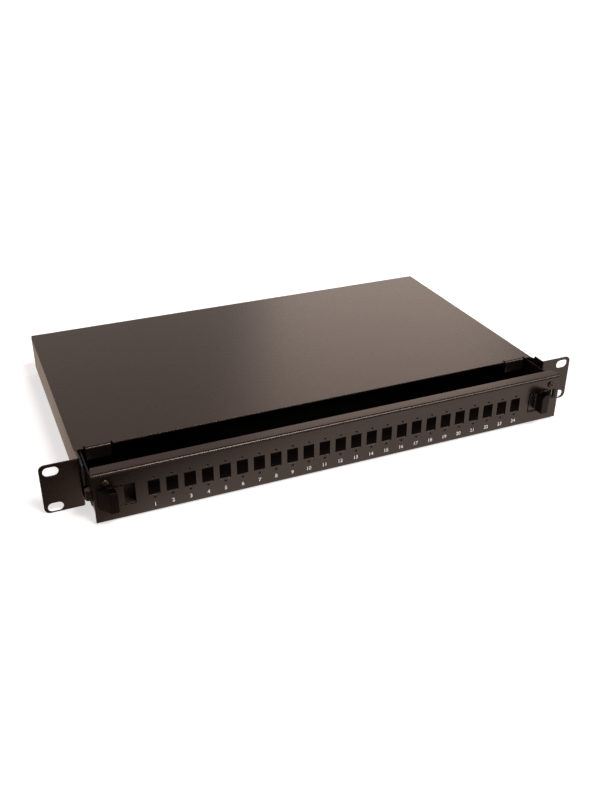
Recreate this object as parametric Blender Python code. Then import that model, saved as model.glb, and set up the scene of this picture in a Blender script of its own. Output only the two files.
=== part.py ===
"""Sliding 1U fibre patch panel for a 19-inch rack, shown with its drawer a little way out.

X runs along the rack's width, +Y goes into the rack and +Z is up. Sizes are in metres.
Every piece is drawn in rack coordinates: x = 0 halfway between the ears, y = 0 on the ears'
front face and z = 0 at the ears' lower edge. An empty then puts that frame where the origin
is the bottom centre of the whole part. A right-hand piece is drawn once and mirrored.
"""

import math

import bmesh
import bpy
from mathutils import Matrix, Vector

# Rack ears
RACK_WIDTH = 0.4826
EAR_HEIGHT = 0.0426
EAR_CORNER = 0.0045
EAR_SLOT_EDGE = 0.00875
EAR_SLOT_SPACING_X = RACK_WIDTH - 2 * EAR_SLOT_EDGE
EAR_SLOT_SPACING_Z = 0.03175
EAR_SLOT_CENTRE_Z = 0.0204
EAR_SLOT_WIDTH = 0.0120
EAR_SLOT_HEIGHT = 0.0078
EAR_SLOT_FLAT = 0.00016

# Folded steel
SHEET = 0.0012
PANEL_SHEET = 0.0015
BEND = 0.0008
FOLD_STEPS = 4
SHEET_SETBACK = 0.0004

# Gaps between pieces that touch, and round screws and bolts
TOUCH = 0.0003
HOLE_CLEARANCE = 0.0004

# Straight sides of round shapes
HOLE_SIDES = 12
PORT_HOLE_SIDES = 8
BORE_SIDES = 16
ROUND_SIDES = 24
ENTRY_SIDES = 32
CORNER_STEPS = 6
BOLT_STEPS = 5
SMOOTH_ANGLE = 35

# Chassis
EAR_REACH = 0.0298
CHASSIS_WIDTH = RACK_WIDTH - 2 * EAR_REACH
CHASSIS_BOTTOM = 0.0033
CHASSIS_DEPTH = 0.2480
EAR_STRIP_DEPTH = 0.0125
FLOOR_SETBACK = 0.0020

# Cover
COVER_TOP = 0.0395
COVER_FRONT = 0.0182
COVER_INSET = 0.0004
COVER_LIP = 0.0080
COVER_TAB_EDGE = 0.0285
COVER_TAB_INNER = CHASSIS_WIDTH / 2 - COVER_TAB_EDGE
COVER_TAB_WIDTH = 0.0200
COVER_TAB_DROP = 0.0112
COVER_TAB_RELIEF = 0.0015
COVER_TAB_RELIEF_DEPTH = 0.0033
COVER_SCREW_EDGE = 0.0615
COVER_SCREW_SPACING = CHASSIS_WIDTH / 2 - COVER_SCREW_EDGE

# Front panel
PANEL_OUT = 0.0289
PANEL_SIDE_GAP = 0.0037
PANEL_WIDTH = CHASSIS_WIDTH - 2 * PANEL_SIDE_GAP
PANEL_BOTTOM = 0.0015
PANEL_TOP = 0.0435
PANEL_FLANGE = 0.0113
PANEL_FLANGE_CHAMFER = 0.0016
PANEL_BEND = 0.0010

# Adapter ports
PORT_COUNT = 24
PORT_MARGIN = 0.04542
PORT_PITCH = (PANEL_WIDTH - 2 * PORT_MARGIN) / (PORT_COUNT - 1)
PORT_WIDTH = 0.0093
PORT_HEIGHT = 0.0134
PORT_CENTRE_Z = 0.0222
PORT_HOLE_SPACING = 0.0178
PORT_HOLE = 0.0022

# Drawer
DRAWER_SIDE_GAP = 0.0038
DRAWER_WIDTH = CHASSIS_WIDTH - 2 * DRAWER_SIDE_GAP
DRAWER_REAR_ROOM = 0.0580
DRAWER_REAR = CHASSIS_DEPTH - DRAWER_REAR_ROOM
DRAWER_WALL_TOP = 0.0376
DRAWER_REAR_DIP = 0.0200
DRAWER_REAR_SHOULDER = 0.0560
DRAWER_REAR_SLOPE = 0.0150
DRAWER_LIP_HEIGHT = 0.0072
DRAWER_LIP_END = 0.0397
DRAWER_LIP_WIDTH = DRAWER_WIDTH - 2 * DRAWER_LIP_END
NOTCH_DEPTH = 0.0160
NOTCH_HEIGHT = 0.0062
NOTCH_WIDTH = 0.0100
SCREW_FLANGE_WIDTH = 0.0142
SCREW_FLANGE_TOP = 0.0406
SCREW_FLANGE_RETURN = 0.0080

# Screws, nuts and the earth stud
SCREW_THREAD = 0.0030
SCREW_HEAD = 0.0056
SCREW_HEAD_HEIGHT = 0.0017
SCREW_LENGTH = 0.0065
SCREW_RECESS = 0.0030
SCREW_RECESS_WIDTH = 0.0007
NUT_FLATS = 0.0055
NUT_HEIGHT = 0.0024
PANEL_SCREW_EDGE = 0.0095
PANEL_SCREW_X = PANEL_WIDTH / 2 - PANEL_SCREW_EDGE
PANEL_SCREW_Z = 0.0356
SCREW_RECESS_DEPTH = 0.00085
SCREW_DOME_STEPS = 4
SCREW_RIM_SHARE = 0.35
EARTH_Z = 0.0150
EARTH_THREAD = 0.0060
EARTH_HEAD = 0.0108
EARTH_HEAD_HEIGHT = 0.0030
EARTH_CHAMFER = 0.00075
EARTH_LENGTH = 0.0120
EARTH_NUT_FLATS = 0.0100
EARTH_NUT_HEIGHT = 0.0050
EARTH_WASHER = 0.0120
EARTH_WASHER_THICKNESS = 0.0016

# Latches
LATCH_WINDOW_EDGE = 0.0028
LATCH_WINDOW_WIDTH = 0.0285
LATCH_WINDOW_OUTER = PANEL_WIDTH / 2 - LATCH_WINDOW_EDGE
LATCH_WINDOW_INNER = LATCH_WINDOW_OUTER - LATCH_WINDOW_WIDTH
LATCH_WINDOW_LOW = 0.0118
LATCH_WINDOW_HIGH = 0.0305
LATCH_SHELF_WIDTH = 0.0058
LATCH_SHELF_HIGH = 0.0212
LATCH_OVERLAP = 0.0007
LATCH_WALL = 0.0012
LATCH_RIM = 0.0010
LATCH_DEPTH = 0.0101
LATCH_TRAVEL = 0.0074
LATCH_GAP = 0.0012
GRIP_TAB_PLACE = 0.0147
GRIP_TAB_INNER = LATCH_WINDOW_INNER + GRIP_TAB_PLACE
GRIP_TAB_WIDTH = 0.0072
GRIP_TAB_OUT = 0.0101
GRIP_TAB_SETBACK = 0.0010
GRIP_TAB_LOW = 0.0135
GRIP_TAB_HIGH = 0.0316
GRIP_TAB_WALL = 0.0012
GRIP_TAB_FLOOR = 0.0035
GRIP_TAB_ROUND = 0.0035
GRIP_TAB_CORNER = 0.0010
GRIP_NECK_WIDTH = 0.0064
GRIP_RAMP_REACH = 0.0068
GRIP_RAMP_EDGE = 0.0008
GRIP_PEG_WIDTH = 0.0030
GRIP_PEG_HEIGHT = 0.0080
GRIP_PEG_REACH = 0.0030
GRIP_ROOT_WIDTH = 0.0115
GRIP_FOOT = 0.0017
BOLT_REACH = 0.0050
BOLT_TIP = PANEL_WIDTH / 2 + BOLT_REACH
BOLT_SETBACK = 0.0020
BOLT_LOW = 0.0200
BOLT_HIGH = 0.0287
BOLT_THICKNESS = 0.0060
BOLT_ROUND = 0.0024

# How far each latch is drawn in: the left bolt is out, the right one is drawn in
LATCH_DRAWN_IN = {"left": 0.0, "right": LATCH_TRAVEL}

# Glides
STRIP_THICKNESS = 0.0017
STRIP_LENGTH = 0.0550
STRIP_LOW = 0.0173
STRIP_HIGH = 0.0360
PAD_THICKNESS = 0.0017
PAD_LENGTH = 0.0300
PAD_LOW = 0.0080
PAD_HIGH = 0.0150

# Cable entries and the earth stud's place between them
ENTRY_HOLE = 0.0204
ENTRY_Z = 0.0175
ENTRY_EDGE = 0.0365
ENTRY_PITCH = 0.0400
EARTH_FROM_ENTRY = 0.0750
ENTRY_OUTER_X = CHASSIS_WIDTH / 2 - ENTRY_EDGE
ENTRY_INNER_X = ENTRY_OUTER_X - ENTRY_PITCH
EARTH_X = ENTRY_INNER_X - EARTH_FROM_ENTRY
GROMMET_BORE = 0.0120
GROMMET_RIM = 0.0023
GROMMET_LIP = 0.0018
GROMMET_EDGE = 0.0006

# Splice tray
TRAY_X = 0.0
TRAY_REAR_ROOM = 0.0720
TRAY_SIDE_ROOM = 0.1197
TRAY_Y = DRAWER_REAR - TRAY_REAR_ROOM
TRAY_LENGTH = DRAWER_WIDTH - 2 * TRAY_SIDE_ROOM
TRAY_WIDTH = 0.1040
TRAY_CORNER = 0.0300
TRAY_HEIGHT = 0.0100
TRAY_SKIN = 0.0015
TRAY_LID = 0.0012
TRAY_LIFT = 0.0030
TRAY_GATE = 0.0080
TRAY_KEEPER_LENGTH = 0.0140
TRAY_KEEPER_REACH = 0.0060

# Studs and nuts that hold the splice tray
TRAY_STUD_END = 0.0280
TRAY_STUD_SPACING = TRAY_LENGTH - 2 * TRAY_STUD_END
TRAY_STUD = 0.0040
TRAY_STUD_FOOT = 0.0090
TRAY_STUD_CHAMFER = 0.0005
TRAY_NUT = 0.0110
TRAY_NUT_HEIGHT = 0.0048
TRAY_NUT_FLUTES = 12
TRAY_NUT_FLUTE_DEPTH = 0.0006

# Combs for splice sleeves
COMB_LENGTH = 0.0300
COMB_GROOVES = 6
COMB_PITCH = 0.0034
COMB_RIB = 0.0010
COMB_BASE = 0.0012
COMB_HEIGHT = 0.0050
COMB_OFFSET = 0.0220

# Fibre rings and tie mounts
RING_FROM_TRAY = 0.0420
RING_FRONT_FROM_TRAY = 0.0600
RING_REAR_FROM_TRAY = 0.0320
RING_X = TRAY_LENGTH / 2 + RING_FROM_TRAY
RING_FRONT_Y = TRAY_Y - RING_FRONT_FROM_TRAY
RING_REAR_Y = TRAY_Y + RING_REAR_FROM_TRAY
RING_WIDTH = 0.0200
RING_HEIGHT = 0.0150
RING_SKIN = 0.0014
RING_LENGTH = 0.0100
RING_BEND = 0.0030
RING_SLIT = 0.0016
TIE_FROM_RING_X = 0.0250
TIE_FROM_RING_Y = 0.0220
TIE_X = RING_X + TIE_FROM_RING_X
TIE_Y = RING_REAR_Y + TIE_FROM_RING_Y
TIE_LENGTH = 0.0200
TIE_WIDTH = 0.0140
TIE_HEIGHT = 0.0060
TIE_TUNNEL_WIDTH = 0.0060
TIE_TUNNEL_HEIGHT = 0.0026
TIE_SADDLE = 0.0120
TIE_SADDLE_LIFT = 0.0036

# Places worked out from the sizes above
PANEL_FRONT = -PANEL_OUT
PANEL_BACK = PANEL_FRONT + PANEL_SHEET
WALL_OUTER = CHASSIS_WIDTH / 2
WALL_INNER = WALL_OUTER - SHEET
CHASSIS_FLOOR = CHASSIS_BOTTOM + SHEET
COVER_UNDER = COVER_TOP - SHEET
WALL_TOP = COVER_UNDER - TOUCH
REAR_FACE = CHASSIS_DEPTH - SHEET - TOUCH
DRAWER_OUTER = DRAWER_WIDTH / 2
DRAWER_INNER = DRAWER_OUTER - SHEET
DRAWER_BOTTOM = CHASSIS_FLOOR + TOUCH
DRAWER_FLOOR = DRAWER_BOTTOM + SHEET
DRAWER_FRONT = PANEL_BACK + TOUCH
COVER_SCREW_Z = COVER_UNDER - (COVER_LIP - SHEET) / 2
SCREW_HOLE = SCREW_THREAD + HOLE_CLEARANCE
POCKET_FRONT = PANEL_BACK + TOUCH
POCKET_REAR = POCKET_FRONT + LATCH_DEPTH
POCKET_LOW = LATCH_WINDOW_LOW - LATCH_OVERLAP
POCKET_HIGH = LATCH_WINDOW_HIGH + LATCH_OVERLAP
POCKET_OUTER = LATCH_WINDOW_OUTER + LATCH_OVERLAP
POCKET_INNER = LATCH_WINDOW_INNER - LATCH_OVERLAP - LATCH_WALL
GRIP_INNER = LATCH_WINDOW_INNER + LATCH_GAP + LATCH_TRAVEL
GRIP_TAB_OUTER = GRIP_TAB_INNER + GRIP_TAB_WIDTH
GRIP_TAB_FRONT = PANEL_FRONT - GRIP_TAB_OUT
GRIP_TAB_REAR = PANEL_FRONT - GRIP_TAB_SETBACK
GRIP_REAR = POCKET_REAR - LATCH_WALL - TOUCH
BOLT_FRONT = PANEL_BACK + BOLT_SETBACK
BOLT_REAR = BOLT_FRONT + BOLT_THICKNESS
FOOT_LOW = POCKET_LOW + LATCH_WALL + TOUCH
FOOT_HIGH = POCKET_HIGH - LATCH_WALL - TOUCH
STUD_FOOT_TOP = DRAWER_FLOOR + TOUCH + TRAY_LIFT
TRAY_BOTTOM = STUD_FOOT_TOP + TOUCH
TRAY_TOP = TRAY_BOTTOM + TRAY_HEIGHT
LID_BOTTOM = TRAY_TOP + TOUCH
LID_TOP = LID_BOTTOM + TRAY_LID
STUD_TOP = LID_TOP + TOUCH + TRAY_NUT_HEIGHT

# The whole part reaches from the grip tabs to the end of the earth stud.
FRONT_REACH = PANEL_OUT + GRIP_TAB_OUT
REAR_REACH = REAR_FACE + TOUCH + EARTH_LENGTH
EAR_FACE_Y = (FRONT_REACH - REAR_REACH) / 2

# Colour, roughness and metallic value of each finish
FINISHES = {
    "dark_paint": ((0.070, 0.055, 0.048, 1.0), 0.42, 0.0),
    "panel_paint": ((0.060, 0.047, 0.042, 1.0), 0.40, 0.0),
    "black_plastic": ((0.012, 0.012, 0.012, 1.0), 0.50, 0.0),
    "grey_nylon": ((0.160, 0.160, 0.155, 1.0), 0.55, 0.0),
    "black_rubber": ((0.015, 0.015, 0.015, 1.0), 0.80, 0.0),
    "zinc": ((0.560, 0.550, 0.520, 1.0), 0.35, 1.0),
    "brass": ((0.620, 0.440, 0.190, 1.0), 0.35, 1.0),
    "blued_steel": ((0.090, 0.085, 0.080, 1.0), 0.40, 1.0),
    "smoke_plastic": ((0.200, 0.210, 0.220, 1.0), 0.20, 0.0),
    "white_plastic": ((0.620, 0.620, 0.600, 1.0), 0.45, 0.0),
}


def clear_scene():
    """Starts from an empty scene."""
    for item in list(bpy.data.objects):
        bpy.data.objects.remove(item, do_unlink=True)


def link(name, shape):
    """Turns a bmesh into an object of the scene."""
    bmesh.ops.recalc_face_normals(shape, faces=shape.faces)
    mesh = bpy.data.meshes.new(name)
    shape.to_mesh(mesh)
    shape.free()
    item = bpy.data.objects.new(name, mesh)
    bpy.context.collection.objects.link(item)
    return item


def rounded(corners, radii, steps=4):
    """The outline of a polygon, counterclockwise, with each corner rounded by its own radius."""
    points = [Vector(corner) for corner in corners]
    outline = []
    for index, corner in enumerate(points):
        radius = radii[index] if isinstance(radii, (list, tuple)) else radii
        if radius <= 0:
            outline.append(tuple(corner))
            continue
        before = (points[index - 1] - corner).normalized()
        after = (points[(index + 1) % len(points)] - corner).normalized()
        half = before.angle(after) / 2
        centre = corner + (before + after).normalized() * radius / math.sin(half)
        start = corner + before * radius / math.tan(half) - centre
        sweep = math.pi - 2 * half
        turn = 1 if (-before).cross(after) > 0 else -1
        for step in range(steps + 1):
            spin = Matrix.Rotation(turn * sweep * step / steps, 2)
            outline.append(tuple(centre + spin @ start))
    return outline


def folded(path, sheet, bend, steps=FOLD_STEPS):
    """The outline of a folded sheet whose middle follows a path, with round bends."""
    points = [Vector(point) for point in path]
    left = []
    right = []
    last = len(points) - 1
    for index, point in enumerate(points):
        if index in (0, last):
            along = points[1] - points[0] if index == 0 else points[last] - points[last - 1]
            normal = Vector((-along.y, along.x)).normalized() * sheet / 2
            left.append(tuple(point + normal))
            right.append(tuple(point - normal))
            continue
        before = (point - points[index - 1]).normalized()
        after = (points[index + 1] - point).normalized()
        angle = before.angle(after)
        side = 1 if before.cross(after) > 0 else -1
        normal_before = Vector((-before.y, before.x)) * side
        normal_after = Vector((-after.y, after.x)) * side
        reach = (bend + sheet / 2) / math.cos(angle / 2)
        centre = point + (normal_before + normal_after).normalized() * reach
        for step in range(steps + 1):
            ray = Matrix.Rotation(side * angle * step / steps, 2) @ -normal_before
            inside = tuple(centre + ray * bend)
            outside = tuple(centre + ray * (bend + sheet))
            left.append(inside if side > 0 else outside)
            right.append(outside if side > 0 else inside)
    return left + right[::-1]


def trough(half, floor, top):
    """The outline of a sheet folded up at both sides."""
    path = [(-half, top), (-half, floor), (half, floor), (half, top)]
    return folded(path, SHEET, BEND)


def rectangle(low, high):
    """The outline of a rectangle between two corners."""
    return [(low[0], low[1]), (high[0], low[1]), (high[0], high[1]), (low[0], high[1])]


def circle(centre, diameter, steps=ROUND_SIDES):
    """The outline of a circle."""
    angles = [2 * math.pi * (step + 0.5) / steps for step in range(steps)]
    radius = diameter / 2
    return [(centre[0] + radius * math.cos(a), centre[1] + radius * math.sin(a)) for a in angles]


def hexagon(centre, flats):
    """The outline of a hexagon, given across its flats."""
    return circle(centre, flats / math.cos(math.pi / 6), 6)


def prism(name, outline, axis, low, high):
    """An outline drawn out along X, Y or Z; it holds the other two coordinates in order."""
    slot = "XYZ".index(axis)

    def place(pair, along):
        values = list(pair)
        values.insert(slot, along)
        return values

    shape = bmesh.new()
    ring = [shape.verts.new(place(pair, low)) for pair in outline]
    face = shape.faces.new(ring)
    drawn = bmesh.ops.extrude_face_region(shape, geom=[face], use_keep_orig=True)
    tops = [part for part in drawn["geom"] if isinstance(part, bmesh.types.BMVert)]
    bmesh.ops.translate(shape, verts=tops, vec=place((0.0, 0.0), high - low))
    return link(name, shape)


def block(name, low, high):
    """A box between two corners."""
    return prism(name, rectangle(low[:2], high[:2]), "Z", low[2], high[2])


def turned(name, profile, axis, centre, steps=ROUND_SIDES):
    """A profile of (radius, distance along the axis) turned round an axis through a centre."""
    shape = bmesh.new()
    ring = [shape.verts.new((radius, 0.0, along)) for radius, along in profile]
    edges = [shape.edges.new((ring[i - 1], ring[i])) for i in range(len(ring))]
    bmesh.ops.spin(
        shape,
        geom=ring + edges,
        cent=(0, 0, 0),
        axis=(0, 0, 1),
        angle=2 * math.pi,
        steps=steps,
        use_merge=True,
    )
    bmesh.ops.remove_doubles(shape, verts=shape.verts, dist=1e-7)
    on_axis = [edge for edge in shape.edges if not edge.link_faces]
    bmesh.ops.delete(shape, geom=on_axis, context="EDGES")
    turn = Vector((0, 0, 1)).rotation_difference(Vector(axis)).to_matrix().to_4x4()
    bmesh.ops.transform(shape, verts=shape.verts, matrix=Matrix.Translation(centre) @ turn)
    item = link(name, shape)
    item.data.shade_smooth()
    item.data.set_sharp_from_angle(angle=math.radians(SMOOTH_ANGLE))
    return item


def group(name, items):
    """Several separate solids as one object."""
    shape = bmesh.new()
    for item in items:
        shape.from_mesh(item.data)
        bpy.data.objects.remove(item, do_unlink=True)
    mesh = bpy.data.meshes.new(name)
    shape.to_mesh(mesh)
    shape.free()
    joined = bpy.data.objects.new(name, mesh)
    bpy.context.collection.objects.link(joined)
    return joined


def combine(body, tool, operation):
    """Joins a tool to a body, cuts it away or keeps what they share."""
    modifier = body.modifiers.new("shape", "BOOLEAN")
    modifier.operation = operation
    modifier.solver = "EXACT"
    modifier.object = tool
    graph = bpy.context.evaluated_depsgraph_get()
    mesh = bpy.data.meshes.new_from_object(body.evaluated_get(graph))
    body.modifiers.remove(modifier)
    body.data = mesh
    bpy.data.objects.remove(tool, do_unlink=True)
    return body


def join(body, *tools):
    """Welds further solids to a body."""
    for tool in tools:
        combine(body, tool, "UNION")
    return body


def cut(body, *tools):
    """Cuts solids out of a body, all at once."""
    return combine(body, group("cutter", list(tools)), "DIFFERENCE")


def mirrored(item):
    """Swaps a right-hand piece for its left-hand twin."""
    item.data.transform(Matrix.Scale(-1, 4, (1, 0, 0)))
    item.data.flip_normals()
    return item


def sided(item, side):
    """A piece drawn for the right, put on the given side."""
    return mirrored(item) if side == "left" else item


def paint(item, finish):
    """Gives a piece a material of its own."""
    colour, roughness, metallic = FINISHES[finish]
    material = bpy.data.materials.new(item.name + "_finish")
    material.use_nodes = True
    shader = material.node_tree.nodes["Principled BSDF"]
    shader.inputs["Base Color"].default_value = colour
    shader.inputs["Roughness"].default_value = roughness
    shader.inputs["Metallic"].default_value = metallic
    item.data.materials.clear()
    item.data.materials.append(material)


def rename(item, name):
    """Names a piece and its mesh."""
    item.name = name
    item.data.name = name
    return item


def chassis_base():
    """The tray-shaped lower case: floor, side walls, rear wall and both rack ears."""
    middle = WALL_OUTER - SHEET / 2
    floor_middle = CHASSIS_BOTTOM + SHEET / 2
    walls = trough(middle, floor_middle, WALL_TOP)
    base = prism("chassis_base", walls, "Y", FLOOR_SETBACK, REAR_FACE)
    rear_half = WALL_OUTER - SHEET_SETBACK
    rear = block(
        "rear_wall",
        (-rear_half, REAR_FACE - SHEET, CHASSIS_BOTTOM + SHEET_SETBACK),
        (rear_half, REAR_FACE, WALL_TOP),
    )
    join(base, rear)
    for side in ("left", "right"):
        join(base, sided(ear(), side))
        cut(base, sided(catch_hole("catch", WALL_INNER - SHEET, BOLT_TIP + HOLE_CLEARANCE), side))
    cut(base, *entry_cutters(), *rear_screw_cutters(), earth_cutter())
    return base


def ear():
    """The right ear, folded out from a strip of the side wall, with its two rack slots."""
    middle = WALL_OUTER - SHEET / 2
    half = RACK_WIDTH / 2
    plan = folded([(middle, EAR_STRIP_DEPTH), (middle, SHEET / 2), (half, SHEET / 2)], SHEET, BEND)
    strip = prism("ear", plan, "Z", 0.0, EAR_HEIGHT)
    inner = WALL_INNER - SHEET
    front = rounded(
        rectangle((inner, 0.0), (half, EAR_HEIGHT)), [0, EAR_CORNER, EAR_CORNER, 0], CORNER_STEPS,
    )
    combine(strip, prism("ear_outline", front, "Y", -SHEET, EAR_STRIP_DEPTH + SHEET), "INTERSECT")
    slots = []
    for sign in (-1, 1):
        x = EAR_SLOT_SPACING_X / 2
        z = EAR_SLOT_CENTRE_Z + sign * EAR_SLOT_SPACING_Z / 2
        low = (x - EAR_SLOT_WIDTH / 2, z - EAR_SLOT_HEIGHT / 2)
        high = (x + EAR_SLOT_WIDTH / 2, z + EAR_SLOT_HEIGHT / 2)
        outline = rounded(rectangle(low, high), (EAR_SLOT_HEIGHT - EAR_SLOT_FLAT) / 2, CORNER_STEPS)
        slots.append(prism("slot", outline, "Y", -SHEET, SHEET * 2))
    below = block(
        "below",
        (inner, FLOOR_SETBACK, -SHEET),
        (WALL_OUTER + SHEET, EAR_STRIP_DEPTH + SHEET, CHASSIS_BOTTOM),
    )
    return cut(strip, below, *slots)


def catch_hole(name, inner, outer):
    """The window that a latch bolt enters when the drawer is shut."""
    low = (inner, BOLT_FRONT + PANEL_OUT - TOUCH, BOLT_LOW - HOLE_CLEARANCE)
    high = (outer, BOLT_REAR + PANEL_OUT + HOLE_CLEARANCE, BOLT_HIGH + HOLE_CLEARANCE)
    return block(name, low, high)


def entry_places():
    """The centres of the four cable entries in the rear wall."""
    return [(x, ENTRY_Z) for x in (-ENTRY_OUTER_X, -ENTRY_INNER_X, ENTRY_INNER_X, ENTRY_OUTER_X)]


def entry_cutters():
    """Round holes for the grommets and plugs."""
    near = REAR_FACE - SHEET * 2
    far = REAR_FACE + SHEET
    return [
        prism("entry", circle(place, ENTRY_HOLE, ENTRY_SIDES), "Y", near, far)
        for place in entry_places()
    ]


def rear_screw_places():
    """The centres of the three cover screws."""
    return [(x, COVER_SCREW_Z) for x in (-COVER_SCREW_SPACING, 0.0, COVER_SCREW_SPACING)]


def rear_screw_cutters():
    """Holes for the cover screws, through the rear wall and the cover's lip."""
    near = REAR_FACE - SHEET * 2
    far = CHASSIS_DEPTH + SHEET
    return [
        prism("hole", circle(place, SCREW_HOLE, HOLE_SIDES), "Y", near, far)
        for place in rear_screw_places()
    ]


def earth_cutter():
    """Hole for the earth stud."""
    outline = circle((EARTH_X, EARTH_Z), EARTH_THREAD + HOLE_CLEARANCE, BORE_SIDES)
    return prism("earth_hole", outline, "Y", REAR_FACE - SHEET * 2, REAR_FACE + SHEET)


def top_cover():
    """The flat lid, with two folded stop tabs in front and a screwed lip behind."""
    half = WALL_OUTER - COVER_INSET
    middle = COVER_TOP - SHEET / 2
    lip = CHASSIS_DEPTH - SHEET / 2
    lid = prism(
        "top_cover",
        folded([(COVER_FRONT, middle), (lip, middle), (lip, COVER_TOP - COVER_LIP)], SHEET, BEND),
        "X", -half, half,
    )
    reliefs = []
    tabs = []
    tab_outer = COVER_TAB_INNER + COVER_TAB_WIDTH
    face = COVER_FRONT + SHEET / 2
    reach = COVER_FRONT + COVER_TAB_RELIEF_DEPTH * 2
    path = [(reach, middle), (face, middle), (face, COVER_TOP - COVER_TAB_DROP)]
    for side in ("left", "right"):
        relief = block(
            "relief",
            (COVER_TAB_INNER - COVER_TAB_RELIEF, COVER_FRONT - SHEET, COVER_UNDER - SHEET),
            (tab_outer + COVER_TAB_RELIEF, COVER_FRONT + COVER_TAB_RELIEF_DEPTH, COVER_TOP + SHEET),
        )
        reliefs.append(sided(relief, side))
        tab = prism("tab", folded(path, SHEET, BEND), "X", COVER_TAB_INNER, tab_outer)
        tabs.append(sided(tab, side))
    cut(lid, *reliefs)
    join(lid, *tabs)
    return cut(lid, *rear_screw_cutters())


def pan_screw(name, centre, axis, length):
    """A pan-head screw with a cross recess; the centre is under the head."""
    radius = SCREW_HEAD / 2
    thread = SCREW_THREAD / 2
    dome = []
    for step in range(SCREW_DOME_STEPS):
        angle = math.pi / 2 * step / SCREW_DOME_STEPS
        share = SCREW_RIM_SHARE + (1 - SCREW_RIM_SHARE) * math.sin(angle)
        dome.append((radius * math.cos(angle), SCREW_HEAD_HEIGHT * share))
    profile = [(0.0, -length), (thread, -length), (thread, 0.0), (radius, 0.0), *dome]
    profile.append((0.0, SCREW_HEAD_HEIGHT))
    screw = turned(name, profile, (0, 0, 1), (0, 0, 0), BORE_SIDES)
    half = SCREW_RECESS / 2
    arm = SCREW_RECESS_WIDTH / 2
    depth = SCREW_HEAD_HEIGHT - SCREW_RECESS_DEPTH
    cross = join(
        block("cross", (-half, -arm, depth), (half, arm, SCREW_HEAD_HEIGHT * 2)),
        block("cross", (-arm, -half, depth), (arm, half, SCREW_HEAD_HEIGHT * 2)),
    )
    cut(screw, cross)
    turn = Vector((0, 0, 1)).rotation_difference(Vector(axis)).to_matrix().to_4x4()
    screw.data.transform(Matrix.Translation(centre) @ turn)
    return screw


def cover_screw(name, place):
    """A screw through the cover's lip into the rear wall."""
    x, z = place
    return pan_screw(name, (x, CHASSIS_DEPTH + TOUCH, z), (0, 1, 0), SCREW_LENGTH)


def glide_strip():
    """Nylon strip on the right wall, with a window for the latch bolt."""
    outer = WALL_INNER - TOUCH
    strip = block(
        "glide_strip",
        (outer - STRIP_THICKNESS, TOUCH, STRIP_LOW),
        (outer, TOUCH + STRIP_LENGTH, STRIP_HIGH),
    )
    return cut(strip, catch_hole("window", outer - STRIP_THICKNESS * 2, WALL_OUTER))


def drawer_pad():
    """Nylon pad on the drawer's right wall, near its rear end."""
    inner = DRAWER_OUTER + TOUCH
    outline = rounded(
        rectangle((DRAWER_REAR - PAD_LENGTH, PAD_LOW), (DRAWER_REAR, PAD_HIGH)), PAD_THICKNESS,
    )
    return prism("drawer_pad", outline, "X", inner, inner + PAD_THICKNESS)


def grommet_profile(bore):
    """Half section of a grommet in the rear wall, as (radius, y)."""
    rim = ENTRY_HOLE / 2 + GROMMET_RIM
    neck = ENTRY_HOLE / 2 - TOUCH
    inside = REAR_FACE - SHEET - TOUCH
    outside = REAR_FACE + TOUCH
    edge = GROMMET_EDGE
    return [
        (bore, inside - GROMMET_LIP), (neck, inside - GROMMET_LIP), (rim - edge, inside - edge),
        (rim - edge, inside), (neck, inside), (neck, outside), (rim, outside),
        (rim, outside + edge), (rim - edge, outside + GROMMET_LIP), (bore, outside + GROMMET_LIP),
    ]


def cable_grommet():
    """Open rubber grommet in the right outer cable entry."""
    centre = (ENTRY_OUTER_X, 0.0, ENTRY_Z)
    return turned("cable_grommet", grommet_profile(GROMMET_BORE / 2), (0, 1, 0), centre)


def blanking_plug():
    """Closed rubber plug in the right inner cable entry, hollow from inside."""
    profile = grommet_profile(0.0)
    hollow = GROMMET_BORE / 2
    inside = REAR_FACE - SHEET - TOUCH - GROMMET_LIP
    floor = REAR_FACE + TOUCH
    profile[0] = (hollow, inside)
    plug = profile + [(0.0, floor), (hollow, floor)]
    return turned("blanking_plug", plug, (0, 1, 0), (ENTRY_INNER_X, 0.0, ENTRY_Z))


def earth_stud():
    """Threaded stud through the rear wall, with its head inside."""
    head = EARTH_HEAD / 2
    thread = EARTH_THREAD / 2
    inside = REAR_FACE - SHEET - TOUCH
    tip = REAR_FACE + TOUCH + EARTH_LENGTH
    chamfer = EARTH_CHAMFER
    profile = [
        (0.0, inside - EARTH_HEAD_HEIGHT), (head, inside - EARTH_HEAD_HEIGHT), (head, inside),
        (thread, inside), (thread, tip - chamfer), (thread - chamfer, tip), (0.0, tip),
    ]
    return turned("earth_stud", profile, (0, 1, 0), (EARTH_X, 0.0, EARTH_Z), BORE_SIDES)


def ring_profile(inner, outer, low, high):
    """Half section of a plain ring."""
    return [(inner, low), (outer, low), (outer, high), (inner, high)]


def earth_washer():
    """Flat washer on the earth stud."""
    low = REAR_FACE + TOUCH
    bore = EARTH_THREAD / 2 + HOLE_CLEARANCE
    profile = ring_profile(bore, EARTH_WASHER / 2, low, low + EARTH_WASHER_THICKNESS)
    return turned("earth_washer", profile, (0, 1, 0), (EARTH_X, 0.0, EARTH_Z))


def earth_nut():
    """Hexagon nut on the earth stud."""
    low = REAR_FACE + TOUCH * 2 + EARTH_WASHER_THICKNESS
    high = low + EARTH_NUT_HEIGHT
    nut = prism("earth_nut", hexagon((EARTH_X, EARTH_Z), EARTH_NUT_FLATS), "Y", low, high)
    bore = circle((EARTH_X, EARTH_Z), EARTH_THREAD + HOLE_CLEARANCE * 2, BORE_SIDES)
    return cut(nut, prism("bore", bore, "Y", low - SHEET, high + SHEET))


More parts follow.
